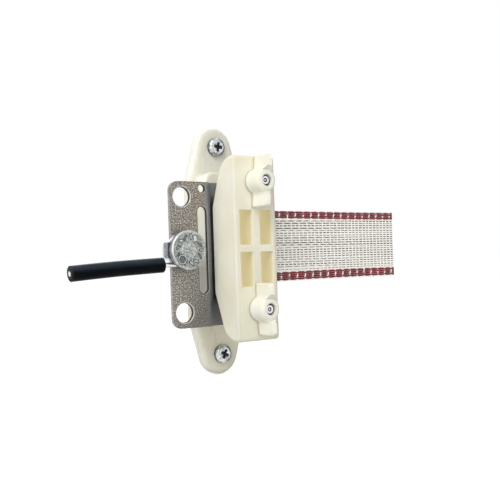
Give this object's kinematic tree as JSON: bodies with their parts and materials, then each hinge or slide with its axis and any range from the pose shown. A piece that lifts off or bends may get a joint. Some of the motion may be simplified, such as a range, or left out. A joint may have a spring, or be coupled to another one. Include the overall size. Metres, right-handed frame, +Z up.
{
  "type": "fence insulator",
  "caption": "Screw-on plastic end insulator that clamps a flat electric fence tape with wing nuts and feeds it from a cable clamp on a steel plate.",
  "frame": {"origin": "centre of the flange's back face, on the post's surface", "axes": "+Z up the post, +X right along the tape, +Y into the post, so the front of the part faces -Y"},
  "size_m": [0.2182, 0.0744, 0.137],
  "materials": {
    "ivory_plastic": "moulded satin, ultraviolet-stable ivory",
    "stainless_plate": "mill finish, dull and speckled",
    "zinc_steel": "bright zinc plate",
    "nut_insert_metal": "turned",
    "cast_zinc": "galvanised casting, grainy",
    "galvanised_wire": "bright galvanised",
    "woven_tape": "open weave, off-white with two red bands",
    "inner_insulation": "matt",
    "black_sheath": "smooth satin"
  },
  "bodies": {
    "base": {"mounting_base": "ivory_plastic", "contact_plate": "stainless_plate", "clamp_bolt_upper": "zinc_steel", "clamp_bolt_lower": "zinc_steel", "post_screw_upper": "zinc_steel", "post_screw_lower": "zinc_steel", "fence_tape": "woven_tape", "joint_clamp_jaw": "cast_zinc", "joint_clamp_washer": "zinc_steel", "lead_conductor": "galvanised_wire", "lead_inner_insulation": "inner_insulation", "lead_sheath": "black_sheath"},
    "clamp_block": {"clamp_block": "ivory_plastic"},
    "upper_nut": {"upper_wing_nut": "ivory_plastic", "upper_nut_insert": "nut_insert_metal"},
    "lower_nut": {"lower_wing_nut": "ivory_plastic", "lower_nut_insert": "nut_insert_metal"},
    "cable_bolt": {"joint_clamp_bolt": "cast_zinc"},
    "cable_nut": {"joint_clamp_nut": "zinc_steel"}
  },
  "joints": [
    {"name": "jaw_slide", "type": "slide", "parent": "base", "child": "clamp_block", "axis": [0, -1, 0], "range_m": [0, 0.006]},
    {"name": "upper_nut_turn", "type": "hinge", "parent": "clamp_block", "child": "upper_nut", "pos_m": [0, -0.0423, 0.03425], "axis": [0, -1, 0], "range_deg": [0, 2160]},
    {"name": "lower_nut_turn", "type": "hinge", "parent": "clamp_block", "child": "lower_nut", "pos_m": [0, -0.0423, -0.03145], "axis": [0, -1, 0], "range_deg": [0, 2160]},
    {"name": "cable_clamp_open", "type": "slide", "parent": "base", "child": "cable_bolt", "axis": [0, -1, 0], "range_m": [0, 0.0035]},
    {"name": "cable_nut_turn", "type": "hinge", "parent": "base", "child": "cable_nut", "pos_m": [-0.0323, -0.0152, 0], "axis": [0, 1, 0], "range_deg": [0, 1008]}
  ],
  "couplings": [
    {"joint": "upper_nut_turn", "follows": "jaw_slide", "rad_per_m": 6283.2},
    {"joint": "lower_nut_turn", "follows": "jaw_slide", "rad_per_m": 6283.2},
    {"joint": "cable_nut_turn", "follows": "cable_clamp_open", "rad_per_m": 5026.5}
  ]
}
